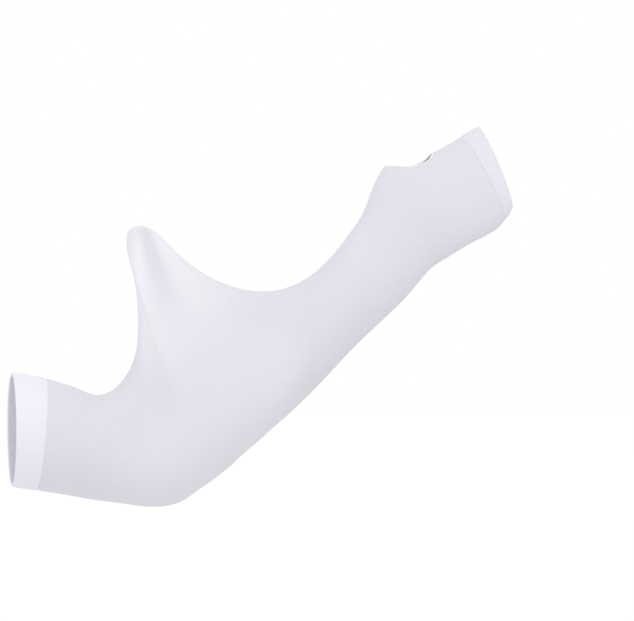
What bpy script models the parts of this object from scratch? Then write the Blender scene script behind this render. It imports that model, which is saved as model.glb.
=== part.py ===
"""A knit arm sleeve with a thumb hole, in the shape it has on a bent arm.

The elbow's pivot is the origin. The arm lies in the XZ plane: the upper arm runs to -X, the
forearm and hand rise to +X and +Z, and a pinched fold of the knit stands up from the crook of
the elbow. The sleeve is an open tube, lofted through sections that fan round the elbow.
"""
import math
from collections import namedtuple

import bmesh
import bpy
from mathutils import Vector

# The limbs that the sleeve follows: length along the axis, width in the arm's plane, and depth
# from side to side. Widths and depths are those of the sleeve itself.
UPPER_LENGTH = 0.120
UPPER_WIDTH = 0.078
UPPER_DEPTH = 0.076
FORE_LENGTH = 0.175
FORE_WIDTH = 0.0575
FORE_DEPTH = 0.068
HAND_LENGTH = 0.1225
HAND_WIDTH = 0.0575
HAND_DEPTH = 0.034

# The fold that is pulled up from the crook: its height above the pivot, the width of the
# pinched tip along the arm, and the space left between the two pressed layers.
PULL_HEIGHT = 0.161
PULL_WIDTH = 0.025
FOLD_GAP = 0.0014

# Directions in the XZ plane, in degrees up from +X.
UPPER_ANGLE = 172.0
FORE_ANGLE = 45.0
HAND_ANGLE = 38.0
PULL_ANGLE = 100.5

# The cloth: one layer in the tube, and two in the turned bands, which stand a little proud.
WALL = 0.0012
BAND_WALL = 0.0020
BAND_PROUD = 0.0002
CLEARANCE = 0.0003

# The thumb hole, along the sleeve and round it, and its narrow rolled edge.
HOLE_LENGTH = 0.033
HOLE_HALF_TURN = 34.0
HOLE_SKEW = 0.14
EDGE_RADIUS = 0.0009

# How a section swells towards the elbow side where its other side is pinched to a fold.
TAPER = 2.6

COLUMNS = 32
ROWS_PER_SECTION = 2
HOLE_RINGS = 2
EDGE_STATIONS = 36
EDGE_SIDES = 8

Limb = namedtuple("Limb", "angle length width")
Section = namedtuple(
    "Section",
    "low_limb low_along low_side top_limb top_along top_side depth roundness lean",
)
State = namedtuple("State", "low top half_depth roundness lean")

# Each row is one section of the sleeve, from the upper edge to the knuckles. It runs from a low
# point on the elbow's side to a top point on the thumb's side. "along" is a share of the limb's
# length, "side" a share of its width, towards the thumb. "depth" is a share of the low limb's
# depth. "roundness" is 1 for a plain oval and near 0 for a drop pinched at the top. "lean" is how
# far the section leans away to +Y for each unit of height, as the forearm turns.
SECTIONS = [
    Section("upper", 0.955, -0.50, "upper", 1.045, 0.50, 1.00, 1.00, 0.00),
    Section("upper", 0.815, -0.505, "upper", 0.85, 0.49, 1.00, 1.00, 0.00),
    Section("upper", 0.65, -0.51, "upper", 0.705, 0.46, 0.98, 1.00, 0.00),
    Section("upper", 0.49, -0.52, "upper", 0.53, 0.41, 0.95, 1.00, 0.00),
    Section("upper", 0.29, -0.52, "pull", 0.345, -1.34, 0.92, 0.90, 0.00),
    Section("upper", 0.155, -0.52, "pull", 0.435, -0.84, 0.91, 0.70, 0.00),
    Section("upper", 0.03, -0.485, "pull", 0.59, -0.54, 0.90, 0.50, 0.00),
    Section("fore", -0.115, -0.435, "pull", 0.78, -0.42, 1.00, 0.34, 0.00),
    Section("fore", -0.045, -0.47, "pull", 0.935, -0.46, 1.00, 0.18, 0.00),
    Section("fore", -0.02, -0.485, "pull", 0.985, -0.36, 1.00, 0.12, 0.00),
    Section("fore", 0.015, -0.505, "pull", 1.00, -0.03, 1.00, 0.10, 0.00),
    Section("fore", 0.05, -0.515, "pull", 0.97, 0.33, 1.00, 0.10, 0.00),
    Section("fore", 0.09, -0.53, "pull", 0.925, 0.54, 1.00, 0.14, 0.00),
    Section("fore", 0.165, -0.54, "pull", 0.835, 0.96, 0.99, 0.22, 0.00),
    Section("fore", 0.23, -0.555, "pull", 0.735, 1.58, 0.98, 0.34, 0.00),
    Section("fore", 0.31, -0.57, "fore", 0.635, 0.865, 0.96, 0.50, 0.00),
    Section("fore", 0.40, -0.59, "fore", 0.73, 0.565, 0.92, 0.64, 0.00),
    Section("fore", 0.505, -0.60, "fore", 0.845, 0.415, 0.87, 0.78, 0.00),
    Section("fore", 0.63, -0.60, "fore", 0.965, 0.38, 0.79, 0.90, 0.02),
    Section("fore", 0.78, -0.585, "fore", 1.095, 0.42, 0.70, 1.00, 0.06),
    Section("fore", 0.935, -0.595, "fore", 1.195, 0.475, 0.64, 1.00, 0.12),
    Section("hand", 0.16, -0.56, "hand", 0.375, 0.695, 1.26, 1.00, 0.18),
    Section("hand", 0.355, -0.48, "hand", 0.45, 0.77, 1.26, 1.00, 0.24),
    Section("hand", 0.485, -0.50, "hand", 0.525, 0.82, 1.22, 1.00, 0.29),
    Section("hand", 0.605, -0.53, "hand", 0.655, 0.71, 1.14, 1.00, 0.33),
    Section("hand", 0.715, -0.575, "hand", 0.785, 0.595, 1.06, 1.00, 0.37),
    Section("hand", 0.805, -0.59, "hand", 0.92, 0.54, 1.02, 1.00, 0.41),
    Section("hand", 0.865, -0.56, "hand", 0.998, 0.52, 1.00, 1.00, 0.44),
    Section("hand", 0.935, -0.505, "hand", 1.105, 0.49, 0.97, 1.00, 0.45),
]
BAND_SECTION = 1
HAND_BAND_SECTION = 27
HOLE_START_SECTION = 23

LIMBS = {
    "upper": Limb(UPPER_ANGLE, UPPER_LENGTH, UPPER_WIDTH),
    "fore": Limb(FORE_ANGLE, FORE_LENGTH, FORE_WIDTH),
    "hand": Limb(HAND_ANGLE, HAND_LENGTH, HAND_WIDTH),
    "pull": Limb(PULL_ANGLE, PULL_HEIGHT, PULL_WIDTH),
}
DEPTHS = {"upper": UPPER_DEPTH, "fore": FORE_DEPTH, "hand": HAND_DEPTH}
# The thumb's side lies clockwise of the upper arm's and the pull's axes, and the other way
# round of the forearm's and the hand's.
SIDE_TURN = {"upper": -90.0, "fore": 90.0, "hand": 90.0, "pull": -90.0}


def direction(angle):
    """The unit vector in the XZ plane that points this many degrees up from +X."""
    return Vector((math.cos(math.radians(angle)), 0.0, math.sin(math.radians(angle))))


def limb_point(name, along, side):
    """A point given in a limb's own shares, in the row frame."""
    limb = LIMBS[name]
    start = direction(FORE_ANGLE) * FORE_LENGTH if name == "hand" else Vector()
    crook = direction(limb.angle + SIDE_TURN[name])
    return start + direction(limb.angle) * limb.length * along + crook * limb.width * side


def section_state(row):
    return State(
        limb_point(row.low_limb, row.low_along, row.low_side),
        limb_point(row.top_limb, row.top_along, row.top_side),
        DEPTHS[row.low_limb] * row.depth / 2,
        row.roundness,
        row.lean,
    )


STATES = [section_state(row) for row in SECTIONS]


def section_stations():
    """Each section's place along the sleeve: how far the middle between its two ends has moved."""
    places = [0.0]
    for before, after in zip(STATES, STATES[1:]):
        moved = (after.low - before.low).length + (after.top - before.top).length
        places.append(places[-1] + moved / 2)
    return places


STATIONS = section_stations()


def slope_at(k, field):
    """The rate of change of a field at section k, from the parabola through its neighbours."""
    def step(i):
        rise = getattr(STATES[i + 1], field) - getattr(STATES[i], field)
        return rise / (STATIONS[i + 1] - STATIONS[i])

    if k == 0:
        return step(0)
    if k == len(STATES) - 1:
        return step(k - 1)
    before = STATIONS[k] - STATIONS[k - 1]
    after = STATIONS[k + 1] - STATIONS[k]
    return (step(k) * before + step(k - 1) * after) / (before + after)


SLOPES = [State(*(slope_at(k, field) for field in State._fields)) for k in range(len(STATES))]


def blended(place, field):
    """A field's value anywhere along the sleeve, on a smooth curve through the sections."""
    k = max(i for i in range(len(STATES) - 1) if i == 0 or STATIONS[i] <= place)
    run = STATIONS[k + 1] - STATIONS[k]
    s = (place - STATIONS[k]) / run
    start, end = getattr(STATES[k], field), getattr(STATES[k + 1], field)
    leave, arrive = getattr(SLOPES[k], field) * run, getattr(SLOPES[k + 1], field) * run
    rise = 3 * s**2 - 2 * s**3
    return (
        start * (1 - rise)
        + end * rise
        + leave * (s**3 - 2 * s**2 + s)
        + arrive * (s**3 - s**2)
    )


def swell(turn):
    """The drop's half thickness at a turn from its tip, before it is scaled to 1 at its widest."""
    return math.sin(turn) * math.sin(abs(turn) / 2) ** TAPER


WIDEST_SWELL = swell(2 * math.atan(math.sqrt(1 + TAPER)))


def surface(place, turn):
    """A point of the sleeve's outer face. turn is in radians, 0 at the thumb's side, and +Y first."""
    low, top = blended(place, "low"), blended(place, "top")
    roundness = min(1.0, blended(place, "roundness"))
    height = (top - low).length
    drop = height * math.sin(turn / 2) ** 2
    oval = roundness * math.sin(turn) + (1 - roundness) * swell(turn) / WIDEST_SWELL
    fold_half = WALL + FOLD_GAP / 2
    cap = math.sqrt(1 - max(0.0, 1 - drop / fold_half) ** 2)
    fold = (1 - roundness) * fold_half * cap * math.copysign(1, math.sin(turn))
    # The fold's thickness fades out towards the elbow, where the two layers part.
    fold *= math.cos(turn / 2) ** 2
    across = blended(place, "half_depth") * oval + fold
    across += blended(place, "lean") * (height / 2 - drop)
    return top + (low - top) * (drop / height) + Vector((0.0, across, 0.0))


def outward(place, turn):
    """The outer face's unit normal."""
    step, twist = 0.0004, 0.02
    back, ahead = max(STATIONS[0], place - step), min(STATIONS[-1], place + step)
    along = surface(ahead, turn) - surface(back, turn)
    around = surface(place, turn + twist) - surface(place, turn - twist)
    return along.cross(around).normalized()


def layer_point(place, turn, deep):
    """A point of the cloth, deep metres under the outer face."""
    return surface(place, turn) - outward(place, turn) * deep


def finish(bm, name, material, smooth_angle=35.0):
    """Turns a bmesh into a named object with smooth shading and its material."""
    bmesh.ops.recalc_face_normals(bm, faces=bm.faces)
    mesh = bpy.data.meshes.new(name)
    bm.to_mesh(mesh)
    bm.free()
    mesh.shade_smooth()
    mesh.set_sharp_from_angle(angle=math.radians(smooth_angle))
    mesh.materials.append(material)
    item = bpy.data.objects.new(name, mesh)
    bpy.context.scene.collection.objects.link(item)
    return item


def join_rings(bm, first, second):
    """Quads between two closed rings of vertices of equal number."""
    count = len(first)
    for i in range(count):
        after = (i + 1) % count
        bm.faces.new((first[i], first[after], second[after], second[i]))


def turned_loop(profile, name, material):
    """A ring of cloth: a closed profile of (place, deep) points, carried once round the sleeve."""
    bm = bmesh.new()
    turns = [math.tau * i / COLUMNS for i in range(COLUMNS)]
    rings = [
        [bm.verts.new(layer_point(place, turn, deep)) for turn in turns]
        for place, deep in profile
    ]
    for ring, following in zip(rings, rings[1:] + rings[:1]):
        join_rings(bm, ring, following)
    return finish(bm, name, material)


def band(start, end, folded_at_start, name, material):
    """A turned band of double cloth, with a round fold at its open edge."""
    outer, inner = -BAND_PROUD, BAND_WALL - BAND_PROUD
    lip = BAND_WALL / 2
    edge, seam = (start, end) if folded_at_start else (end, start)
    inset = lip if folded_at_start else -lip
    shares = (0.0, 1 / 3, 2 / 3, 1.0)
    stations = [edge + inset + (seam - edge - inset) * share for share in shares]
    profile = [(edge, (outer + inner) / 2)]
    profile += [(place, outer) for place in stations]
    profile += [(place, inner) for place in reversed(stations)]
    return turned_loop(profile, name, material)


# The thumb hole lies on the thumb's side, so its middle is at turn 0. The patch of the tube's
# grid that is laid anew around it is a column wider than the hole on each side.
HOLE_MIDDLE = STATIONS[HOLE_START_SECTION] + HOLE_LENGTH / 2
HOLE_COLUMNS = math.ceil(COLUMNS * HOLE_HALF_TURN / 360) + 1


def hole_outline(bearing):
    """(place, turn) of the thumb hole's edge. Bearing 0 points to the knuckles."""
    half_turn = math.radians(HOLE_HALF_TURN)
    place = HOLE_MIDDLE + HOLE_LENGTH / 2 * math.cos(bearing)
    return place, half_turn * math.sin(bearing) * (1 + HOLE_SKEW * math.cos(bearing))


def tube_rows():
    """Places of the tube's rings of vertices, from band to band."""
    places = []
    for k in range(BAND_SECTION, HAND_BAND_SECTION):
        run = STATIONS[k + 1] - STATIONS[k]
        places += [STATIONS[k] + run * i / ROWS_PER_SECTION for i in range(ROWS_PER_SECTION)]
    places.append(STATIONS[HAND_BAND_SECTION])
    places[0] += CLEARANCE / 2
    places[-1] -= CLEARANCE / 2
    return places


def patch_corners(places):
    """Rows just before and after the thumb hole, which the patch of the tube's grid replaces."""
    before = max(i for i, place in enumerate(places) if place < HOLE_MIDDLE - HOLE_LENGTH / 2)
    after = min(i for i, place in enumerate(places) if place > HOLE_MIDDLE + HOLE_LENGTH / 2)
    return before, after


def patch_border(first, last):
    """(row, column) of the patch's border, anticlockwise as seen with the knuckles to the right."""
    side = HOLE_COLUMNS
    border = [(last, column) for column in range(-side, side)]
    border += [(row, side) for row in range(last, first, -1)]
    border += [(first, column) for column in range(side, -side, -1)]
    border += [(row, -side) for row in range(first, last)]
    return border


def sleeve_tube(material):
    """The single layer of knit from band to band, with the thumb hole let into its grid."""
    bm = bmesh.new()
    places = tube_rows()
    first, last = patch_corners(places)
    turns = [math.tau * column / COLUMNS for column in range(COLUMNS)]

    def in_patch(row, column):
        column = column if column < COLUMNS / 2 else column - COLUMNS
        return first < row < last and abs(column) < HOLE_COLUMNS

    def cell_in_patch(row, column):
        column = column if column < COLUMNS / 2 else column - COLUMNS
        return first <= row < last and -HOLE_COLUMNS <= column < HOLE_COLUMNS

    layers = []
    for deep in (0.0, WALL):
        grid = {
            (row, column): bm.verts.new(layer_point(place, turn, deep))
            for row, place in enumerate(places)
            for column, turn in enumerate(turns)
            if not in_patch(row, column)
        }
        for row in range(len(places) - 1):
            for column in range(COLUMNS):
                if cell_in_patch(row, column):
                    continue
                after = (column + 1) % COLUMNS
                corners = [(row, column), (row, after), (row + 1, after), (row + 1, column)]
                bm.faces.new([grid[corner] for corner in corners])
        ring = [grid[row, column % COLUMNS] for row, column in patch_border(first, last)]
        for k in range(1, HOLE_RINGS + 1):
            share = k / HOLE_RINGS
            inner_ring = []
            for row, column in patch_border(first, last):
                place, turn = places[row], math.tau * column / COLUMNS
                bearing = math.atan2(
                    turn * HOLE_LENGTH / 2, (place - HOLE_MIDDLE) * math.radians(HOLE_HALF_TURN)
                )
                hole_place, hole_turn = hole_outline(bearing)
                at = (place + (hole_place - place) * share, turn + (hole_turn - turn) * share)
                inner_ring.append(bm.verts.new(layer_point(*at, deep)))
            join_rings(bm, ring, inner_ring)
            ring = inner_ring
        ends = [[grid[row, column] for column in range(COLUMNS)] for row in (0, len(places) - 1)]
        layers.append((*ends, ring))
    for outer_ring, inner_ring in zip(*layers):
        join_rings(bm, outer_ring, inner_ring)
    return finish(bm, "sleeve_tube", material)


def thumb_hole_edge(material):
    """The rolled edge that lines the thumb hole, just inside the tube's cut."""
    bm = bmesh.new()
    count = EDGE_STATIONS
    points = [layer_point(*hole_outline(math.tau * i / count), WALL / 2) for i in range(count)]
    rings = []
    for i in range(count):
        normal = outward(*hole_outline(math.tau * i / count))
        along = points[(i + 1) % count] - points[i - 1]
        inward = normal.cross(along).normalized()
        if inward.dot(points[(i + count // 2) % count] - points[i]) < 0:
            inward.negate()
        middle = points[i] + inward * (EDGE_RADIUS + CLEARANCE)
        rings.append(
            [
                bm.verts.new(middle + (inward * math.cos(a) + normal * math.sin(a)) * EDGE_RADIUS)
                for a in (math.tau * side / EDGE_SIDES for side in range(EDGE_SIDES))
            ]
        )
    for ring, following in zip(rings, rings[1:] + rings[:1]):
        join_rings(bm, ring, following)
    return finish(bm, "thumb_hole_edge", material, smooth_angle=80.0)


def cloth_material(name, colour, roughness):
    material = bpy.data.materials.new(name)
    material.use_nodes = True
    shader = material.node_tree.nodes["Principled BSDF"]
    shader.inputs["Base Color"].default_value = (*colour, 1.0)
    shader.inputs["Roughness"].default_value = roughness
    shader.inputs["Metallic"].default_value = 0.0
    material.diffuse_color = (*colour, 1.0)
    return material


def main():
    for item in list(bpy.data.objects):
        bpy.data.objects.remove(item)
    knit = cloth_material("cool_white_knit", (0.76, 0.76, 0.80), 0.75)
    double_knit = cloth_material("double_white_knit", (0.84, 0.84, 0.88), 0.75)
    rolled_knit = cloth_material("rolled_white_knit", (0.82, 0.81, 0.84), 0.80)
    pivot = bpy.data.objects.new("elbow_pivot", None)
    bpy.context.scene.collection.objects.link(pivot)
    half_gap = CLEARANCE / 2
    pieces = [
        sleeve_tube(knit),
        band(0.0, STATIONS[BAND_SECTION] - half_gap, True, "upper_band", double_knit),
        band(
            STATIONS[HAND_BAND_SECTION] + half_gap, STATIONS[-1], False, "hand_band", double_knit
        ),
        thumb_hole_edge(rolled_knit),
    ]
    for piece in pieces:
        piece.parent = pivot


main()
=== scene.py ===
"""Dresses a knit arm sleeve: its fine-rib cloth, its turned bands, its thumb hole and its studio.

The sleeve lies in the XZ plane, bent at the elbow's pivot, which is the origin. The wide end is to
-X, the knuckles are to +X and +Z, and a pinched fold of cloth stands up from the elbow's crook.
"""

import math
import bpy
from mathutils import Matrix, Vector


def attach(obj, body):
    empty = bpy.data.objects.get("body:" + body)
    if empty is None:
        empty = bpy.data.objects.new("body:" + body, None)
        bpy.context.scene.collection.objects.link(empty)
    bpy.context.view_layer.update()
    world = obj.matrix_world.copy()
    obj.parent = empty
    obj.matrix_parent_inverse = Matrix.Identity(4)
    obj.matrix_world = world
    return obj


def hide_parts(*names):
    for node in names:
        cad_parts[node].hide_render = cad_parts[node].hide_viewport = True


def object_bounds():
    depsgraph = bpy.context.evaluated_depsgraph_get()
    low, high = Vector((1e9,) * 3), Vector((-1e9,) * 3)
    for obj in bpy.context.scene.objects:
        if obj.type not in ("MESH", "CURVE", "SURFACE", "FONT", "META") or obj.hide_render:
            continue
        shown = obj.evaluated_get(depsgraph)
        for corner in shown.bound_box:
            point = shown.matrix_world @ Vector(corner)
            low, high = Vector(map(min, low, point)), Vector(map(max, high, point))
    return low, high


bl_info = {
    "name": "Knit Arm Sleeve",
    "version": (1, 0, 0),
    "blender": (4, 5, 0),
    "location": "View3D > Sidebar > Arm Sleeve",
    "description": "Builds a white knit arm sleeve with a thumb hole and lights it in a studio",
    "category": "Object",
}

from collections import namedtuple

import bmesh
import bpy
import numpy as np
from bpy.props import FloatProperty, FloatVectorProperty, IntProperty, PointerProperty
from mathutils import Euler, Vector, noise

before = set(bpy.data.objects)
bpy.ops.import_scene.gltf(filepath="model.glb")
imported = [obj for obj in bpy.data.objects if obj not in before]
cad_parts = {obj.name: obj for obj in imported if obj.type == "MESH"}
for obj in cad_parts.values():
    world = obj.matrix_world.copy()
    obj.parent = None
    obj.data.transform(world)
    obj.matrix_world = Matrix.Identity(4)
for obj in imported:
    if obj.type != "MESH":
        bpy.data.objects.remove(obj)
CAD_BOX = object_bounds()

# The cloth's map, and its marks: how strongly the knit's relief and its painted groove shade
# show, and how much painted light stands for the light that comes through the cloth from behind.
KNIT_MAP = "knit"
RELIEF_MARK = "relief"
BACKLIGHT_MARK = "painted_backlight"

# The rows of the table of sections between which the wales follow the fold's edge.
WALE_FOLD_ROWS = (2.0, 6.0, 13.5, 19.0)
# The rows and the turns from the fold's edge over which the cloth is evened out, and how often.
EASED_ROWS = (4.0, 5.5, 9.5, 12.0)
EASED_TURNS = (0.10, 0.40)
EASING_ROUNDS = 24

# The least share of the relief that stretching leaves, and how it fades where wales crowd.
LEAST_RELIEF = 0.15
CROWDED_GAIN, CROWDED_POWER = 1.4, 2.5
# How much painted backlight the fold's plain cloth gets, and how much a crease's ridge adds to it
# as a painted highlight. A crease's valley takes some of it away as painted shade.
BACKLIGHT_PLAIN, BACKLIGHT_RIDGE = 0.35, 1.4
# Waves of the cloth's unevenness in a metre.
DRIFT_WAVES = 42.0

# The line where a band is stitched down: how far it lies from the band's start, and its width.
STITCH_RUN, STITCH_WIDTH = 0.0030, 0.0005
# The thumb hole's edge: how far in it lies and how thin it is, as shares of its radius, and how
# much each of its threads adds.
ROLL_INWARD, ROLL_THIN, ROLL_THREAD = 0.8, 0.90, 0.14
ROLL_THREADS = 64

# A stitch: where its leg is highest between the wale's middle and its groove, how much the leg
# slants, and what share of the relief comes and goes from course to course.
LEG_PLACE, LEG_SLANT, COURSE_SHARE = 0.42, 0.6, 0.42
# The groove depth that gets the plain colour. Deeper grooves get painted shade and the rest a
# painted highlight, which also makes up for the bump's shading, so that ribbed and stretched cloth
# look as pale.
EVEN_GROOVE = 0.43
# A faint cloudiness: its scale, and the factors on the colour at its darkest and palest.
CLOUD_SCALE, CLOUD_DARK, CLOUD_PALE = 14.0, (0.978, 0.978, 0.99), 1.02

# How finely the meshes are divided.
TUBE_ROWS, TUBE_COLUMNS, HOLE_RINGS = 252, 168, 7
BAND_COLUMNS = 224
ROLL_POINTS, ROLL_SIDES = 320, 14
# Samples along and round the sleeve from which the wales' places are worked out.
RING_ROWS, RING_COLUMNS, LINE_POINTS = 161, 257, 481

# The point at the middle of the picture.
PICTURE_MIDDLE = (0.0952, 0.0, 0.09905)

# Each row is one section of the sleeve, from the upper edge to the knuckles. It runs from a low
# point on the elbow's side to a top point on the thumb's side. "along" is a share of the limb's
# length, "side" a share of its width, towards the thumb. "depth" is a share of the low limb's
# depth. "roundness" is 1 for a plain oval and near 0 for a drop pinched at the top. "lean" is how
# far the section leans away to +Y for each unit of height, as the forearm turns.
Section = namedtuple(
    "Section",
    "low_limb low_along low_side top_limb top_along top_side depth roundness lean",
)
SECTIONS = [
    Section("upper", 0.955, -0.50, "upper", 1.045, 0.50, 1.00, 1.00, 0.00),
    Section("upper", 0.815, -0.505, "upper", 0.85, 0.49, 1.00, 1.00, 0.00),
    Section("upper", 0.65, -0.51, "upper", 0.705, 0.46, 0.98, 1.00, 0.00),
    Section("upper", 0.49, -0.52, "upper", 0.53, 0.41, 0.95, 1.00, 0.00),
    Section("upper", 0.29, -0.52, "pull", 0.345, -1.34, 0.92, 0.84, 0.00),
    Section("upper", 0.155, -0.52, "pull", 0.435, -0.84, 0.91, 0.66, 0.00),
    Section("upper", 0.03, -0.485, "pull", 0.59, -0.54, 0.90, 0.40, 0.00),
    Section("fore", -0.115, -0.435, "pull", 0.78, -0.42, 1.00, 0.19, 0.00),
    Section("fore", -0.045, -0.47, "pull", 0.935, -0.46, 1.00, 0.03, 0.00),
    Section("fore", -0.02, -0.485, "pull", 0.985, -0.36, 1.00, 0.00, 0.00),
    Section("fore", 0.015, -0.505, "pull", 1.00, -0.03, 1.00, 0.00, 0.00),
    Section("fore", 0.05, -0.515, "pull", 0.97, 0.33, 1.00, 0.03, 0.00),
    Section("fore", 0.09, -0.53, "pull", 0.925, 0.54, 1.00, 0.07, 0.00),
    Section("fore", 0.165, -0.54, "pull", 0.835, 0.96, 0.99, 0.15, 0.00),
    Section("fore", 0.23, -0.555, "pull", 0.735, 1.58, 0.98, 0.30, 0.00),
    Section("fore", 0.31, -0.57, "fore", 0.635, 0.865, 0.96, 0.48, 0.00),
    Section("fore", 0.40, -0.59, "fore", 0.73, 0.565, 0.92, 0.64, 0.00),
    Section("fore", 0.505, -0.60, "fore", 0.845, 0.415, 0.87, 0.78, 0.00),
    Section("fore", 0.63, -0.60, "fore", 0.965, 0.38, 0.79, 0.90, 0.02),
    Section("fore", 0.78, -0.585, "fore", 1.095, 0.42, 0.70, 1.00, 0.06),
    Section("fore", 0.935, -0.595, "fore", 1.195, 0.475, 0.64, 1.00, 0.12),
    Section("hand", 0.16, -0.56, "hand", 0.375, 0.695, 1.26, 1.00, 0.18),
    Section("hand", 0.355, -0.48, "hand", 0.45, 0.77, 1.26, 1.00, 0.24),
    Section("hand", 0.485, -0.50, "hand", 0.525, 0.82, 1.22, 1.00, 0.29),
    Section("hand", 0.605, -0.53, "hand", 0.655, 0.71, 1.14, 1.00, 0.33),
    Section("hand", 0.715, -0.575, "hand", 0.785, 0.595, 1.06, 1.00, 0.37),
    Section("hand", 0.805, -0.59, "hand", 0.92, 0.54, 1.02, 1.00, 0.41),
    Section("hand", 0.865, -0.56, "hand", 0.998, 0.52, 1.00, 1.00, 0.44),
    Section("hand", 0.935, -0.505, "hand", 1.105, 0.49, 0.97, 1.00, 0.45),
]
BAND_SECTION = 1
PINCH_SECTION = 10
HOLE_START_SECTION = 23
HAND_BAND_SECTION = 27

# How a section swells towards the elbow side where its other side is pinched to a fold.
TAPER = 2.6

# Soft creases that run out from the pinched tip, on the near (-1) or far (+1) face. "bearing" is
# in degrees from straight down the pull, towards the hand. "spread" is in degrees as well.
# "height" is a share of the crease height in the panel, and "reach" a share of the pull's height.
Crease = namedtuple("Crease", "face bearing spread height reach")
CREASES = [
    Crease(-1, -7.0, 5.0, 0.8, 0.75),
    Crease(-1, 6.5, 5.0, -1.0, 0.42),
    Crease(-1, 20.0, 7.0, 0.9, 0.48),
    Crease(1, 2.0, 6.0, 0.6, 0.40),
    Crease(1, 16.0, 6.0, -0.8, 0.42),
    Crease(1, 31.0, 8.0, 0.7, 0.45),
]


# Sizes, finishes and studio settings, as a user finds them in the panel.
def length(name, about, default):
    return FloatProperty(
        name=name, description=about, default=default, min=0.0, precision=4, unit="LENGTH"
    )


def angle(name, about, degrees):
    return FloatProperty(
        name=name, description=about, default=math.radians(degrees), subtype="ANGLE"
    )


def share(name, about, default, high=1.0):
    return FloatProperty(name=name, description=about, default=default, min=0.0, max=high)


def colour(name, about, default):
    return FloatVectorProperty(
        name=name, description=about, default=default, size=3, min=0.0, max=1.0, subtype="COLOR"
    )


class ArmSizes(bpy.types.PropertyGroup):
    """The bent arm that the sleeve follows, over the cloth"""

    upper_length: length("Upper arm length", "From the elbow's pivot to the wide end", 0.120)
    upper_width: length("Upper arm width", "Width in the plane of the bent arm", 0.078)
    upper_depth: length("Upper arm depth", "Depth from side to side", 0.076)
    upper_angle: angle("Upper arm angle", "Direction in the arm's plane, up from +X", 172.0)
    fore_length: length("Forearm length", "From the elbow's pivot to the wrist", 0.175)
    fore_width: length("Forearm width", "Width above the wrist, in the arm's plane", 0.0575)
    fore_depth: length("Forearm depth", "Depth of its thickest part, from side to side", 0.068)
    fore_angle: angle("Forearm angle", "Direction in the arm's plane, up from +X", 45.0)
    hand_length: length("Hand length", "From the wrist to past the knuckles", 0.1225)
    hand_width: length("Hand width", "Width across the knuckles", 0.0575)
    hand_depth: length("Hand depth", "Thickness of the hand", 0.034)
    hand_angle: angle("Hand angle", "Direction in the arm's plane, up from +X", 38.0)
    pull_height: length("Pull height", "From the elbow's pivot to the tip of the fold", 0.161)
    pull_width: length("Pull width", "Width of the pinched tip along the arm", 0.025)
    pull_angle: angle("Pull angle", "Direction that the fold is pulled in, up from +X", 100.5)


class ClothSizes(bpy.types.PropertyGroup):
    """The knit's layers, the thumb hole and the fullness of the cloth"""

    wall: length("Wall", "Thickness of one layer of knit", 0.0012)
    band_wall: length("Band wall", "Thickness of the turned double bands", 0.0020)
    band_proud: length("Band proud", "How far a band stands out of the single layer", 0.0002)
    band_puff: length("Band puff", "How far a band swells between its fold and its seam", 0.0002)
    band_dip: length("Band stitch dip", "Depth of the line where a band is stitched down", 0.00012)
    band_lap: length("Band lap", "How far a band laps over the end of the single layer", 0.0012)
    band_ramp: length("Band ramp", "Run in which a band rises from its seam to full", 0.0018)
    fold_gap: length("Fold gap", "Space between the two layers in the pinched tip", 0.0014)
    crease_height: length("Crease height", "Height of the soft creases near the tip", 0.0011)
    # The height over the arm at which the fold's painted backlight is full.
    painted_backlight_rise: length("Airy rise", "Height over the arm at which the fold is at its airiest", 0.04)
    drift: length("Drift", "Gentle unevenness of the stretched cloth", 0.00022)
    hole_length: length("Thumb hole length", "Length of the hole along the sleeve", 0.033)
    hole_half_turn: angle("Thumb hole half turn", "Half the hole's angle round the sleeve", 34.0)
    hole_skew: share("Thumb hole skew", "How much wider the hole is towards the hand", 0.14)
    roll_radius: length("Rolled edge radius", "Radius of the thumb hole's rolled edge", 0.0009)


class KnitFinish(bpy.types.PropertyGroup):
    """The knit's stitches and colours"""

    wales: IntProperty(
        name="Wales", description="Columns of stitches round the sleeve", default=156, min=8
    )
    course_height: length("Course height", "Height of one row of stitches", 0.0010)
    usual_pitch: length("Usual pitch", "Widest wale at which the relief is full", 0.0014)
    wide_pitch: length("Wide pitch", "Width of a wale that is stretched almost flat", 0.0023)
    relief: length("Relief", "Depth of the grooves between the columns of stitches", 0.00016)
    single: colour("Single knit", "Colour of the single layer", (0.645, 0.637, 0.691))
    # Painted backlight: the paler colour where light would come through the fold from behind.
    painted_backlight: colour("Airy knit", "Colour where light comes through the fold", (0.735, 0.740, 0.780))
    double_upper: colour("Upper band", "Colour of the band at the wide end", (0.738, 0.729, 0.794))
    double_hand: colour("Hand band", "Colour of the band at the knuckles", (0.672, 0.668, 0.726))
    rolled: colour("Rolled edge", "Colour of the thumb hole's edge", (0.80, 0.79, 0.80))
    roughness: share("Roughness", "Roughness of the yarn", 0.62)
    sheen: share("Sheen", "How much the yarn's nap glows at a glancing angle", 0.16)


class StudioSettings(bpy.types.PropertyGroup):
    """The floor, the light and the camera"""

    floor_size: length("Floor size", "Length of the floor's sides", 40.0)
    floor_drop: length("Floor drop", "Floor's distance below the sleeve, which is held up", 0.42)
    floor_shade: share("Floor shade", "How pale the floor is", 0.88)
    room_light: share("Room light", "Strength of the even white light all round", 1.0, 10.0)
    top_light: share("Top light", "Strength of the large soft light from above", 0.7, 10.0)
    top_height: angle("Top light height", "How far above the horizon the top light stands", 45.0)
    top_turn: angle("Top light turn", "Turn of the top light to the wide end's side", 12.0)
    top_spread: angle("Top light spread", "Width of the top light as the sleeve sees it", 70.0)
    camera_turn: angle("Camera turn", "Turn of the view to the wide end's side", 9.0)
    camera_distance: length("Camera distance", "From the camera to the sleeve's middle", 3.0)
    frame_width: length("Frame width", "Width of the picture at the sleeve", 0.4438)


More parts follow.
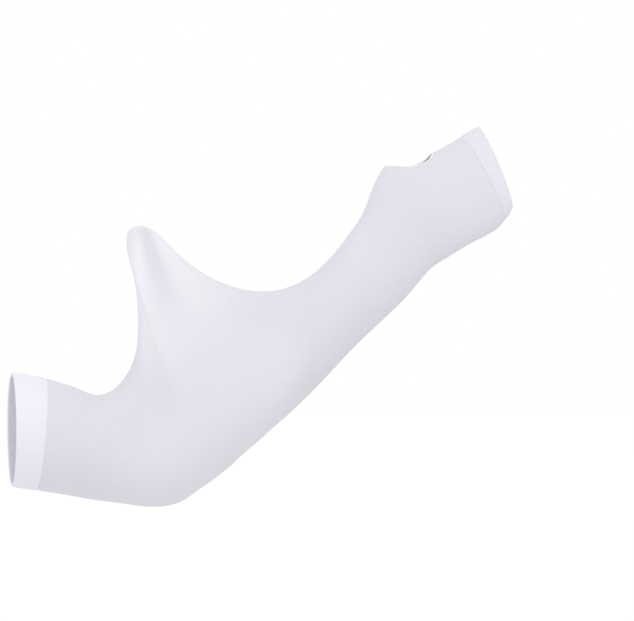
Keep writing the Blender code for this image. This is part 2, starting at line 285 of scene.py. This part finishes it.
# The form of the sleeve's outer face.
def smooth(share):
    """Eases a share from 0 to 1, level at both ends."""
    return share * share * (3 - 2 * share)


def swell(turns):
    """The drop's half thickness at a turn from its tip, before it is scaled to 1 at its widest."""
    return np.sin(turns) * np.abs(np.sin(turns / 2)) ** TAPER


WIDEST_SWELL = float(swell(2 * math.atan(math.sqrt(1 + TAPER))))


class SleeveForm:
    """The outer face as a function of the place along the sleeve and the turn round it."""

    def __init__(self, arm, cloth):
        self.cloth = cloth
        self.limbs = {
            "upper": (arm.upper_angle, arm.upper_length, arm.upper_width, -1),
            "fore": (arm.fore_angle, arm.fore_length, arm.fore_width, 1),
            "hand": (arm.hand_angle, arm.hand_length, arm.hand_width, 1),
            "pull": (arm.pull_angle, arm.pull_height, arm.pull_width, -1),
        }
        depths = {"upper": arm.upper_depth, "fore": arm.fore_depth, "hand": arm.hand_depth}
        rows = [
            (
                *self.limb_point(row.low_limb, row.low_along, row.low_side),
                *self.limb_point(row.top_limb, row.top_along, row.top_side),
                depths[row.low_limb] * row.depth / 2,
                row.roundness,
                row.lean,
            )
            for row in SECTIONS
        ]
        self.values = np.array(rows)
        steps = np.diff(self.values, axis=0)
        moved = np.hypot(steps[:, 0], steps[:, 1]) + np.hypot(steps[:, 2], steps[:, 3])
        self.stations = np.concatenate([[0.0], np.cumsum(moved / 2)])
        runs = np.diff(self.stations)[:, None]
        steps = steps / runs
        inner = (steps[1:] * runs[:-1] + steps[:-1] * runs[1:]) / (runs[:-1] + runs[1:])
        self.slopes = np.vstack([steps[:1], inner, steps[-1:]])
        self.hole_start = self.stations[HOLE_START_SECTION]
        self.hole_middle = self.hole_start + cloth.hole_length / 2
        self.measure_rings()

    def limb_point(self, name, along, side):
        """A point given in a limb's own shares, as (x, z)."""
        turn, reach, width, crook = self.limbs[name]
        x, z = 0.0, 0.0
        if name == "hand":
            x, z = self.limb_point("fore", 1.0, 0.0)
        x += math.cos(turn) * reach * along - crook * math.sin(turn) * width * side
        z += math.sin(turn) * reach * along + crook * math.cos(turn) * width * side
        return x, z

    def blended(self, places):
        """The sections' values anywhere along the sleeve, on smooth curves through the table."""
        last = len(self.stations) - 2
        k = np.clip(np.searchsorted(self.stations, places, side="right") - 1, 0, last)
        run = (self.stations[k + 1] - self.stations[k])[..., None]
        s = (places - self.stations[k])[..., None] / run
        rise = smooth(s)
        return (
            self.values[k] * (1 - rise)
            + self.values[k + 1] * rise
            + self.slopes[k] * run * (s**3 - 2 * s**2 + s)
            + self.slopes[k + 1] * run * (s**3 - s**2)
        )

    def face(self, places, turns):
        """Points of the outer face. A turn is 0 at the thumb's side, in radians, and +Y first."""
        at = self.blended(places)
        low, top = at[..., 0:2], at[..., 2:4]
        roundness = np.minimum(at[..., 5], 1.0)
        height = np.linalg.norm(top - low, axis=-1)
        drop = height * np.sin(turns / 2) ** 2
        oval = roundness * np.sin(turns) + (1 - roundness) * swell(turns) / WIDEST_SWELL
        fold_half = self.cloth.wall + self.cloth.fold_gap / 2
        cap = np.sqrt(1 - np.clip(1 - drop / fold_half, 0.0, 1.0) ** 2)
        fold = (1 - roundness) * fold_half * cap * np.sign(np.sin(turns))
        across = at[..., 4] * oval + fold * np.cos(turns / 2) ** 2
        across += at[..., 6] * (height / 2 - drop)
        flat = top + (low - top) * (drop / height)[..., None]
        return np.stack([flat[..., 0], across, flat[..., 1]], axis=-1)

    def outward(self, places, turns):
        """The outer face's unit normals."""
        step, twist = 0.0004, 0.02
        back = np.maximum(self.stations[0], places - step)
        ahead = np.minimum(self.stations[-1], places + step)
        along = self.face(ahead, turns) - self.face(back, turns)
        around = self.face(places, turns + twist) - self.face(places, turns - twist)
        normal = np.cross(along, around)
        return normal / np.linalg.norm(normal, axis=-1, keepdims=True)

    def crease_lift(self, points):
        """How far the soft creases raise the cloth near the pinched tip."""
        arm_turn = self.limbs["pull"][0]
        tip = self.values[PINCH_SECTION, 2:4]
        away = np.stack([points[..., 0] - tip[0], points[..., 2] - tip[1]], axis=-1)
        down = -(away[..., 0] * math.cos(arm_turn) + away[..., 1] * math.sin(arm_turn))
        side = away[..., 0] * math.sin(arm_turn) - away[..., 1] * math.cos(arm_turn)
        # The creases start from the width of the pinch, so their centre lies above the tip.
        pinch = self.limbs["pull"][2]
        bearing = np.degrees(np.arctan2(side, down + pinch))
        far = np.hypot(side, down + pinch)
        lift = np.zeros(points.shape[:-1])
        for crease in CREASES:
            reach = self.limbs["pull"][1] * crease.reach
            fade = np.clip((far - pinch) / (0.5 * pinch), 0.0, 1.0)
            fade *= np.clip(1 - far / (reach + pinch), 0.0, 1.0)
            line = np.exp(-(((bearing - crease.bearing) / crease.spread) ** 2))
            lift += np.where(points[..., 1] * crease.face > 0, crease.height * line * fade, 0.0)
        return self.cloth.crease_height * lift

    def cloth_points(self, places, turns, deep):
        """Points of the cloth, deep metres under the outer face, with its creases and drift."""
        points = self.face(places, turns)
        lift = self.crease_lift(points) - deep
        if self.cloth.drift:
            wave = [noise.noise(Vector(p) * DRIFT_WAVES) for p in points.reshape(-1, 3)]
            lift = lift + self.cloth.drift * np.array(wave).reshape(lift.shape)
        return points + self.outward(places, turns) * lift[..., None]

    def relief_share(self, places, turns, finish):
        """How much of the knit's relief is left where the wales are stretched or crowded."""
        step, twist = 0.0005, 0.01
        ahead, back = (places + step, turns), (places - step, turns)
        beside, before = (places, turns + twist), (places, turns - twist)
        along = (self.face(*ahead) - self.face(*back)) / (2 * step)
        shift = (self.ring_share(*ahead) - self.ring_share(*back)) / (2 * step)
        around = (self.face(*beside) - self.face(*before)) / (2 * twist)
        share = (self.ring_share(*beside) - self.ring_share(*before)) / (2 * twist)
        across = around / np.maximum(share, 1e-6)[..., None]
        wale = along - across * shift[..., None]
        area = np.linalg.norm(np.cross(across, wale), axis=-1)
        pitch = area / np.linalg.norm(wale, axis=-1) / finish.wales
        wide = (finish.wide_pitch - pitch) / (finish.wide_pitch - finish.usual_pitch)
        crowded = CROWDED_GAIN * (pitch / finish.usual_pitch) ** CROWDED_POWER
        return np.clip(np.minimum(np.maximum(wide, LEAST_RELIEF), crowded), 0.0, 1.0)

    def painted_backlight_share(self, places, turns):
        """The share of painted backlight: most at the fold's edge, where no arm is behind it."""
        points = self.face(places, turns)
        clear = np.full(places.shape, np.inf)
        for name in ("upper", "fore"):
            turn, reach, width, crook = self.limbs[name]
            beside = crook * (points[..., 2] * math.cos(turn) - points[..., 0] * math.sin(turn))
            clear = np.minimum(clear, beside - width / 2)
        rise = smooth(np.clip(clear / self.cloth.painted_backlight_rise, 0.0, 1.0))
        # Painted shade in the creases' valleys and a painted highlight on their ridges:
        # a valley gets less of the painted backlight, and a ridge more.
        ridge = self.crease_lift(points) / self.cloth.crease_height
        return rise * np.clip(BACKLIGHT_PLAIN + BACKLIGHT_RIDGE * ridge, 0.0, 1.0)

    def marks(self, places, turns, finish):
        """The amounts that the knit's finish reads at each point."""
        return {
            RELIEF_MARK: self.relief_share(places, turns, finish).ravel(),
            BACKLIGHT_MARK: self.painted_backlight_share(places, turns).ravel(),
        }

    def measure_rings(self):
        """Works out how far round its ring each turn lies, so that wales keep an even width."""
        self.ring_places = np.linspace(self.stations[0], self.stations[-1], RING_ROWS)
        self.ring_turns = np.linspace(-math.pi, math.pi, RING_COLUMNS)
        places, turns = np.meshgrid(self.ring_places, self.ring_turns, indexing="ij")
        rings = self.face(places, turns)
        steps = np.linalg.norm(np.diff(rings, axis=1), axis=-1)
        run = np.concatenate([np.zeros((len(steps), 1)), np.cumsum(steps, axis=1)], axis=1)
        shares = run / run[:, -1:]
        # Over the fold a wale can't turn as sharply as the sections do. There it keeps between the
        # elbow's line and the fold's edge, at a share that depends on how near each of them is.
        top, low = self.nearness(rings, 0.0), self.nearness(rings, math.pi)
        between = 0.5 * top / (top + low)
        between = np.where(turns > 0, 1 - between, between)
        row = np.interp(self.ring_places, self.stations, np.arange(len(self.stations)))
        fold = smooth(np.interp(row, WALE_FOLD_ROWS, (0.0, 1.0, 1.0, 0.0)))[:, None]
        self.ring_shares = shares * (1 - fold) + between * fold

    def nearness(self, points, turn):
        """How near the sleeve's long line at a turn is to each point, summed along the line."""
        places = np.linspace(self.stations[0], self.stations[-1], LINE_POINTS)
        line = self.face(places, np.full(len(places), turn))
        gaps = np.linalg.norm(np.gradient(line, axis=0), axis=-1)
        total = np.zeros(points.shape[:-1])
        # On the line itself the sum would be endless, so no point counts as nearer than 0.1 mm.
        nearest = 0.0001
        for spot, gap in zip(line, gaps):
            apart = ((points - spot) ** 2).sum(axis=-1) + nearest**2
            total += gap / apart**1.5
        return np.sqrt(total)

    def ring_share(self, places, turns):
        """The share of its ring that lies before a turn, counted from the elbow's side."""
        row = np.interp(places, self.ring_places, np.arange(len(self.ring_places)))
        column = np.interp(turns, self.ring_turns, np.arange(len(self.ring_turns)))
        i = np.minimum(row.astype(int), len(self.ring_places) - 2)
        j = np.minimum(column.astype(int), len(self.ring_turns) - 2)
        a, b = row - i, column - j
        table = self.ring_shares
        return (
            table[i, j] * (1 - a) * (1 - b)
            + table[i + 1, j] * a * (1 - b)
            + table[i, j + 1] * (1 - a) * b
            + table[i + 1, j + 1] * a * b
        )

    def hole_outline(self, bearings):
        """(place, turn) of the thumb hole's edge. Bearing 0 points to the knuckles."""
        cloth = self.cloth
        places = self.hole_middle + cloth.hole_length / 2 * np.cos(bearings)
        skew = 1 + cloth.hole_skew * np.cos(bearings)
        return places, cloth.hole_half_turn * np.sin(bearings) * skew


def sleeve_form(context):
    """The sleeve's form at the panel's present sizes."""
    return SleeveForm(context.scene.arm_sizes, context.scene.cloth_sizes)


# Meshes of quads with the knit's map on them.
def cloth_object(name, points, knit_uv, quads, marks, material):
    """A smooth closed piece of cloth. knit_uv holds each point's share of its ring and its run."""
    mesh = bpy.data.meshes.new(name)
    mesh.from_pydata(points.tolist(), [], quads)
    bm = bmesh.new()
    bm.from_mesh(mesh)
    bmesh.ops.recalc_face_normals(bm, faces=bm.faces)
    bm.to_mesh(mesh)
    bm.free()
    corners = np.zeros(len(mesh.loops), dtype=np.int32)
    mesh.loops.foreach_get("vertex_index", corners)
    uv = knit_uv[corners].reshape(-1, 4, 2)
    shares = uv[:, :, 0]
    wraps = (shares.max(axis=1) - shares.min(axis=1)) > 0.5
    shares[wraps] += shares[wraps] < 0.5
    mesh.uv_layers.new(name=KNIT_MAP).data.foreach_set("uv", uv.ravel())
    for mark, amounts in marks.items():
        mesh.attributes.new(mark, "FLOAT", "POINT").data.foreach_set("value", amounts)
    mesh.shade_smooth()
    mesh.materials.append(material)
    piece = bpy.data.objects.new(name, mesh)
    bpy.context.scene.collection.objects.link(piece)
    return piece


def loop_quads(count, rings):
    """Quads between rings of count points each, from the last ring back to the first."""
    quads = []
    for ring in range(rings):
        a, b = ring * count, (ring + 1) % rings * count
        quads += [(a + i, a + (i + 1) % count, b + (i + 1) % count, b + i) for i in range(count)]
    return quads


def swept_loop(form, name, profile, finish, material):
    """A ring of cloth: a closed profile of (place, deep) points, carried once round the sleeve."""
    turns = np.linspace(-math.pi, math.pi, BAND_COLUMNS, endpoint=False)
    places, turns = np.meshgrid([place for place, deep in profile], turns, indexing="ij")
    deep = np.broadcast_to(np.array([[deep] for place, deep in profile]), places.shape)
    points = form.cloth_points(places, turns, deep)
    steps = [math.dist(a, b) for a, b in zip(profile, profile[1:])]
    runs = np.concatenate([[0.0], np.cumsum(steps)]) + profile[0][0]
    runs = np.broadcast_to(runs[:, None], places.shape)
    knit_uv = np.stack([form.ring_share(places, turns), runs], axis=-1).reshape(-1, 2)
    quads = loop_quads(BAND_COLUMNS, len(profile))
    marks = form.marks(places, turns, finish)
    return cloth_object(name, points.reshape(-1, 3), knit_uv, quads, marks, material)


def band_profile(form, edge, seam):
    """A turned band's outline in (place, deep), from its seam round its fold and back inside."""
    cloth = form.cloth
    outer, inner = -cloth.band_proud, cloth.band_wall - cloth.band_proud
    # The band starts just under the single layer's face and rises out of it.
    tucked = 0.1 * cloth.wall
    radius = cloth.band_wall / 2
    way = math.copysign(1.0, edge - seam)
    start, stop = seam - way * cloth.band_lap, edge - way * radius
    reach = abs(stop - start)
    # The points lie close together from the seam past the stitches, and wider apart beyond.
    shares = [*np.linspace(0.0, 0.18, 10)[:-1], *np.linspace(0.18, 1.0, 24)[:-1]]
    profile = []
    for share in shares:
        run = share * reach
        ramp = min(1.0, run / cloth.band_ramp)
        rise = (outer - tucked) * smooth(ramp)
        puff = cloth.band_puff * ramp * math.sin(math.pi * share) ** 0.6
        dip = cloth.band_dip * math.exp(-(((run - STITCH_RUN) / STITCH_WIDTH) ** 2))
        profile.append((start + way * run, tucked + rise - puff + dip))
    for bearing in np.linspace(0.0, math.pi, 13):
        across = radius * math.cos(bearing)
        profile.append((stop + way * radius * math.sin(bearing), outer + radius - across))
    for share in np.linspace(1.0, 0.0, 14)[1:]:
        profile.append((start + way * share * reach, inner))
    profile.append((start, inner - 0.5 * radius))
    return profile


def patch_border(first, last, half):
    """(row, column) round the patch that holds the thumb hole, column 0 being the thumb's side."""
    border = [(last, column) for column in range(-half, half)]
    border += [(row, half) for row in range(last, first, -1)]
    border += [(first, column) for column in range(half, -half, -1)]
    border += [(row, -half) for row in range(first, last)]
    return border


def knit_layer(form, rows, columns, hole_rings):
    """One layer's (place, turn) points, its quads, and lists of its ends' and its hole's points."""
    places = np.linspace(
        form.stations[BAND_SECTION], form.stations[HAND_BAND_SECTION], rows
    ).tolist()
    half_length = form.cloth.hole_length / 2
    first = max(i for i, place in enumerate(places) if place < form.hole_middle - half_length) - 1
    last = min(i for i, place in enumerate(places) if place > form.hole_middle + half_length) + 1
    half = math.ceil(columns * form.cloth.hole_half_turn / math.tau) + 2
    middle = columns // 2
    index, spots = {}, []
    for row, place in enumerate(places):
        for column in range(columns):
            if first < row < last and abs(column - middle) < half:
                continue
            index[row, column] = len(spots)
            spots.append((place, math.tau * (column - middle) / columns))
    quads = []
    for row in range(rows - 1):
        for column in range(columns):
            if first <= row < last and -half <= column - middle < half:
                continue
            after = (column + 1) % columns
            corners = [(row, column), (row, after), (row + 1, after), (row + 1, column)]
            quads.append(tuple(index[corner] for corner in corners))
    border = patch_border(first, last, half)
    ring = [index[row, column + middle] for row, column in border]
    edge_points = np.array([spots[i] for i in ring])
    bearings = np.arctan2(
        edge_points[:, 1] * half_length,
        (edge_points[:, 0] - form.hole_middle) * form.cloth.hole_half_turn,
    )
    hole_points = np.stack(form.hole_outline(bearings), axis=-1)
    for k in range(1, hole_rings + 1):
        s = k / hole_rings
        start = len(spots)
        spots += [tuple(p) for p in edge_points * (1 - s) + hole_points * s]
        following = list(range(start, start + len(ring)))
        count = len(ring)
        quads += [
            (ring[i], ring[(i + 1) % count], following[(i + 1) % count], following[i])
            for i in range(count)
        ]
        ring = following
    ends = [[index[row, column] for column in range(columns)] for row in (0, rows - 1)]
    return np.array(spots), quads, (*ends, ring)


def eased(form, points, quads, places, turns):
    """Evens out the cloth beside the fold's steep edge, where the sections crowd together."""
    row = np.interp(places, form.stations, np.arange(len(form.stations)))
    share = np.interp(row, EASED_ROWS, (0.0, 1.0, 1.0, 0.0))
    share *= np.interp(np.abs(turns), EASED_TURNS, (0.0, 1.0))
    links = np.array([(quad[i], quad[(i + 1) % 4]) for quad in quads for i in range(4)])
    links = np.vstack([links, links[:, ::-1]])
    count = np.bincount(links[:, 0], minlength=len(points))
    moved = points.copy()
    for _ in range(EASING_ROUNDS):
        around = [np.bincount(links[:, 0], moved[links[:, 1], k], len(points)) for k in range(3)]
        around = np.stack(around, axis=-1) / count[:, None]
        moved += 0.5 * share[:, None] * (around - moved)
    return moved


# Finishes.
class Nodes:
    """Short ways to add and join shader nodes."""

    def __init__(self, material):
        self.tree = material.node_tree
        self.shader = self.tree.nodes["Principled BSDF"]

    def add(self, kind, **settings):
        node = self.tree.nodes.new(kind)
        for key, value in settings.items():
            setattr(node, key, value)
        return node

    def join(self, source, target):
        self.tree.links.new(source, target)

    def math(self, operation, *values):
        node = self.add("ShaderNodeMath", operation=operation)
        for socket, value in zip(node.inputs, values):
            if isinstance(value, bpy.types.NodeSocket):
                self.join(value, socket)
            else:
                socket.default_value = value
        return node.outputs[0]

    def mix(self, factor, first, second):
        node = self.add("ShaderNodeMix", data_type="RGBA")
        self.join(factor, node.inputs["Factor"])
        # A colour mix has its two colours in sockets 6 and 7, and its result in output 2.
        for socket, value in ((node.inputs[6], first), (node.inputs[7], second)):
            if isinstance(value, bpy.types.NodeSocket):
                self.join(value, socket)
            else:
                socket.default_value = (*value, 1.0)
        return node.outputs[2]


def knit_material(name, base, finish, groove_painted_shade, relief_share, painted_backlight=None):
    """Fine jersey: wales along the sleeve, each a column of V stitches with two slanting legs."""
    material = bpy.data.materials.new(name)
    material.use_nodes = True
    nodes = Nodes(material)
    knit_map = nodes.add("ShaderNodeUVMap", uv_map=KNIT_MAP)
    parts = nodes.add("ShaderNodeSeparateXYZ")
    nodes.join(knit_map.outputs["UV"], parts.inputs[0])
    left = nodes.add("ShaderNodeAttribute", attribute_name=RELIEF_MARK)

    # From the middle of a wale, 0, to the groove beside it, 1.
    across = nodes.math("MULTIPLY", parts.outputs["X"], float(finish.wales))
    aside = nodes.math("MULTIPLY_ADD", nodes.math("PINGPONG", across, 0.5), -2.0, 1.0)
    off_leg = nodes.math("DIVIDE", nodes.math("SUBTRACT", aside, LEG_PLACE), 1.0 - LEG_PLACE)
    leg = nodes.math("SUBTRACT", 1.0, nodes.math("MULTIPLY", off_leg, off_leg))
    row = nodes.math("DIVIDE", parts.outputs["Y"], finish.course_height)
    turn = nodes.math("FRACT", nodes.math("MULTIPLY_ADD", aside, LEG_SLANT, row))
    stitch = nodes.math("SINE", nodes.math("MULTIPLY", turn, math.pi))
    course = nodes.math("MULTIPLY_ADD", stitch, COURSE_SHARE, 1.0 - COURSE_SHARE)
    height = nodes.math("MULTIPLY", leg, course)

    bump = nodes.add("ShaderNodeBump")
    bump.inputs["Strength"].default_value = 1.0
    bump.inputs["Distance"].default_value = finish.relief * relief_share
    nodes.join(nodes.math("MULTIPLY", height, left.outputs["Fac"]), bump.inputs["Height"])
    nodes.join(bump.outputs["Normal"], nodes.shader.inputs["Normal"])

    place = nodes.add("ShaderNodeTexCoord")
    cloud = nodes.add("ShaderNodeTexNoise")
    cloud.inputs["Scale"].default_value = CLOUD_SCALE
    cloud.inputs["Detail"].default_value = 3.0
    nodes.join(place.outputs["Object"], cloud.inputs["Vector"])
    dark = tuple(c * f for c, f in zip(base, CLOUD_DARK))
    pale = tuple(min(c * CLOUD_PALE, 1.0) for c in base)
    tint = nodes.mix(cloud.outputs["Fac"], dark, pale)
    # Painted backlight: a paler colour where light would come through the fold from behind.
    if painted_backlight:
        backlight_node = nodes.add("ShaderNodeAttribute", attribute_name=BACKLIGHT_MARK)
        tint = nodes.mix(backlight_node.outputs["Fac"], tint, painted_backlight)
    # Painted shade in the grooves and a painted highlight on the ridges, so that the cloth keeps
    # its colour on average.
    groove = nodes.math("POWER", nodes.math("SUBTRACT", 1.0, height), 2.0)
    depth = nodes.math("MULTIPLY", left.outputs["Fac"], groove_painted_shade)
    shade = nodes.math("MULTIPLY_ADD", nodes.math("SUBTRACT", EVEN_GROOVE, groove), depth, 1.0)
    painted_ribs = nodes.add("ShaderNodeVectorMath", operation="SCALE")
    nodes.join(tint, painted_ribs.inputs["Vector"])
    nodes.join(shade, painted_ribs.inputs["Scale"])
    nodes.join(painted_ribs.outputs["Vector"], nodes.shader.inputs["Base Color"])
    rough = nodes.math("MULTIPLY_ADD", groove, 0.12, finish.roughness)
    nodes.join(rough, nodes.shader.inputs["Roughness"])
    nodes.shader.inputs["Specular IOR Level"].default_value = 0.3
    nodes.shader.inputs["Sheen Weight"].default_value = finish.sheen
    nodes.shader.inputs["Sheen Roughness"].default_value = 0.5
    return material


# The pieces, one operator each.
def settle(piece, node):
    """Hangs a piece on the sleeve's body, in place of the plain solid that it dresses."""
    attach(piece, "root")
    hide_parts(node)


def turned_band(context, name, knit, tint, edge, seam, node):
    """Builds a band between its edge and its seam, both given as rows of the table."""
    form = sleeve_form(context)
    finish = context.scene.knit_finish
    material = knit_material(knit, tint, finish, groove_painted_shade=0.12, relief_share=0.8)
    profile = band_profile(form, form.stations[edge], form.stations[seam])
    settle(swept_loop(form, name, profile, finish, material), node)


class SLEEVE_OT_upper_band(bpy.types.Operator):
    """Builds the turned band at the wide end of the sleeve"""

    bl_idname = "sleeve.upper_band"
    bl_label = "Upper Band"

    def execute(self, context):
        turned_band(
            context,
            "upper_turned_band",
            "double_upper_knit",
            context.scene.knit_finish.double_upper,
            edge=0,
            seam=BAND_SECTION,
            node="upper_band",
        )
        return {"FINISHED"}


class SLEEVE_OT_hand_band(bpy.types.Operator):
    """Builds the narrow turned band at the knuckles"""

    bl_idname = "sleeve.hand_band"
    bl_label = "Hand Band"

    def execute(self, context):
        turned_band(
            context,
            "hand_turned_band",
            "double_hand_knit",
            context.scene.knit_finish.double_hand,
            edge=-1,
            seam=HAND_BAND_SECTION,
            node="hand_band",
        )
        return {"FINISHED"}


class SLEEVE_OT_thumb_hole(bpy.types.Operator):
    """Builds the rolled and overcast edge of the thumb hole"""

    bl_idname = "sleeve.thumb_hole"
    bl_label = "Thumb Hole Edge"

    def execute(self, context):
        form = sleeve_form(context)
        finish = context.scene.knit_finish
        cloth = form.cloth
        count, sides = ROLL_POINTS, ROLL_SIDES
        bearings = np.linspace(0.0, math.tau, count, endpoint=False)
        places, turns = form.hole_outline(bearings)
        edge = form.cloth_points(places, turns, np.full(count, cloth.wall / 2))
        normal = form.outward(places, turns)
        along = np.roll(edge, -1, axis=0) - np.roll(edge, 1, axis=0)
        inward = np.cross(normal, along)
        inward /= np.linalg.norm(inward, axis=-1, keepdims=True)
        opposite = np.roll(edge, count // 2, axis=0) - edge
        inward *= np.sign((inward * opposite).sum(axis=-1, keepdims=True))
        run = np.concatenate([[0.0], np.cumsum(np.linalg.norm(np.diff(edge, axis=0), axis=-1))])
        lap = run / (run[-1] + np.linalg.norm(edge[0] - edge[-1]))
        around = np.linspace(0.0, math.tau, sides, endpoint=False)
        thread = 0.5 + 0.5 * np.cos(lap[:, None] * math.tau * ROLL_THREADS + around[None, :])
        radius = cloth.roll_radius * (ROLL_THIN + ROLL_THREAD * thread)
        middle = edge + inward * cloth.roll_radius * ROLL_INWARD
        points = middle[:, None, :] + radius[..., None] * (
            inward[:, None, :] * np.cos(around)[None, :, None]
            + normal[:, None, :] * np.sin(around)[None, :, None]
        )
        material = knit_material(
            "rolled_edge_knit", finish.rolled, finish, groove_painted_shade=0.08, relief_share=0.5
        )
        laps = np.repeat(lap, sides)
        rolls = np.tile(around * cloth.roll_radius, count)
        knit_uv = np.stack([laps, rolls], axis=-1)
        quads = loop_quads(sides, count)
        marks = {RELIEF_MARK: np.ones(count * sides), BACKLIGHT_MARK: np.zeros(count * sides)}
        piece = cloth_object(
            "thumb_hole_roll", points.reshape(-1, 3), knit_uv, quads, marks, material
        )
        settle(piece, "thumb_hole_edge")
        return {"FINISHED"}


class SLEEVE_OT_knit_tube(bpy.types.Operator):
    """Builds the single layer of knit from band to band, with the thumb hole in it"""

    bl_idname = "sleeve.knit_tube"
    bl_label = "Knit Tube"

    def execute(self, context):
        form = sleeve_form(context)
        finish = context.scene.knit_finish
        spots, quads, edges = knit_layer(form, TUBE_ROWS, TUBE_COLUMNS, HOLE_RINGS)
        places, turns = spots[:, 0], spots[:, 1]
        outer = form.cloth_points(places, turns, np.zeros(len(spots)))
        inner = form.cloth_points(places, turns, np.full(len(spots), form.cloth.wall))
        easing = eased(form, outer, quads, places, turns) - outer
        layers = [outer + easing, inner + easing]
        shares = np.where(turns <= -math.pi + 1e-9, 0.0, form.ring_share(places, turns))
        knit_uv = np.stack([shares, places], axis=-1)
        under = len(spots)
        quads += [tuple(i + under for i in quad) for quad in quads]
        for edge in edges:
            count = len(edge)
            for i in range(count):
                a, b = edge[i], edge[(i + 1) % count]
                quads.append((a, b, b + under, a + under))
        marks = form.marks(places, turns, finish)
        marks = {mark: np.tile(amounts, 2) for mark, amounts in marks.items()}
        material = knit_material(
            "single_knit",
            finish.single,
            finish,
            groove_painted_shade=0.17,
            relief_share=1.0,
            painted_backlight=finish.painted_backlight,
        )
        piece = cloth_object(
            "knit_tube", np.vstack(layers), np.vstack([knit_uv, knit_uv]), quads, marks, material
        )
        settle(piece, "sleeve_tube")
        # The tube lies 85 mm wide when it is flat and empty.
        return {"FINISHED"}


def white_finish(name, shade, roughness):
    """A plain matt finish in a shade between black and white."""
    material = bpy.data.materials.new(name)
    material.use_nodes = True
    shader = material.node_tree.nodes["Principled BSDF"]
    shader.inputs["Base Color"].default_value = (shade, shade, shade, 1.0)
    shader.inputs["Roughness"].default_value = roughness
    shader.inputs["Specular IOR Level"].default_value = 0.1
    return material


class SLEEVE_OT_studio(bpy.types.Operator):
    """Builds the pale floor, the soft light and the camera"""

    bl_idname = "sleeve.studio"
    bl_label = "Studio"

    def execute(self, context):
        studio = context.scene.studio_settings
        scene = context.scene
        middle = Vector(PICTURE_MIDDLE)

        bpy.ops.mesh.primitive_plane_add(
            size=studio.floor_size, location=(0.0, 0.0, CAD_BOX[0][2] - studio.floor_drop)
        )
        floor = context.active_object
        floor.name = "studio_floor"
        floor.data.materials.append(white_finish("studio_floor_white", studio.floor_shade, 0.9))

        world = bpy.data.worlds.new("studio_room")
        world.use_nodes = True
        background = world.node_tree.nodes["Background"]
        background.inputs["Color"].default_value = (1.0, 1.0, 1.0, 1.0)
        background.inputs["Strength"].default_value = studio.room_light
        scene.world = world

        light = bpy.data.lights.new("soft_top_light", "SUN")
        light.energy = studio.top_light
        light.angle = studio.top_spread
        lamp = bpy.data.objects.new("soft_top_light", light)
        lamp.rotation_euler = (math.pi / 2 - studio.top_height, 0.0, -studio.top_turn)
        scene.collection.objects.link(lamp)

        camera = bpy.data.cameras.new("photo_camera")
        camera.sensor_width = 36.0
        camera.lens = 36.0 * studio.camera_distance / studio.frame_width
        holder = bpy.data.objects.new("photo_camera", camera)
        back = Vector((0.0, -studio.camera_distance, 0.0))
        back.rotate(Euler((0.0, 0.0, -studio.camera_turn)))
        holder.location = middle + back
        holder.rotation_euler = (middle - holder.location).to_track_quat("-Z", "Y").to_euler()
        scene.collection.objects.link(holder)
        scene.camera = holder
        scene.view_settings.view_transform = "Standard"
        return {"FINISHED"}


class SLEEVE_PT_panel(bpy.types.Panel):
    """Lists the sleeve's sizes and finishes and builds its pieces"""

    bl_idname = "SLEEVE_PT_panel"
    bl_label = "Arm Sleeve"
    bl_space_type = "VIEW_3D"
    bl_region_type = "UI"
    bl_category = "Arm Sleeve"

    def draw(self, context):
        layout = self.layout
        layout.use_property_split = True
        for name, group in GROUPS.items():
            box = layout.box()
            settings = getattr(context.scene, name)
            for field in group.__annotations__:
                box.prop(settings, field)
        for operator in OPERATORS:
            layout.operator(operator.bl_idname)


GROUPS = {
    "arm_sizes": ArmSizes,
    "cloth_sizes": ClothSizes,
    "knit_finish": KnitFinish,
    "studio_settings": StudioSettings,
}
OPERATORS = (
    SLEEVE_OT_upper_band,
    SLEEVE_OT_hand_band,
    SLEEVE_OT_thumb_hole,
    SLEEVE_OT_knit_tube,
    SLEEVE_OT_studio,
)
CLASSES = (*GROUPS.values(), *OPERATORS, SLEEVE_PT_panel)


def register():
    for cls in CLASSES:
        bpy.utils.register_class(cls)
    for name, group in GROUPS.items():
        setattr(bpy.types.Scene, name, PointerProperty(type=group))


def unregister():
    for name in GROUPS:
        delattr(bpy.types.Scene, name)
    for cls in reversed(CLASSES):
        bpy.utils.unregister_class(cls)


def main():
    """Builds the sleeve and its studio."""
    register()
    bpy.ops.sleeve.upper_band()
    bpy.ops.sleeve.hand_band()
    bpy.ops.sleeve.thumb_hole()
    bpy.ops.sleeve.knit_tube()
    bpy.ops.sleeve.studio()


if __name__ == "__main__":
    main()
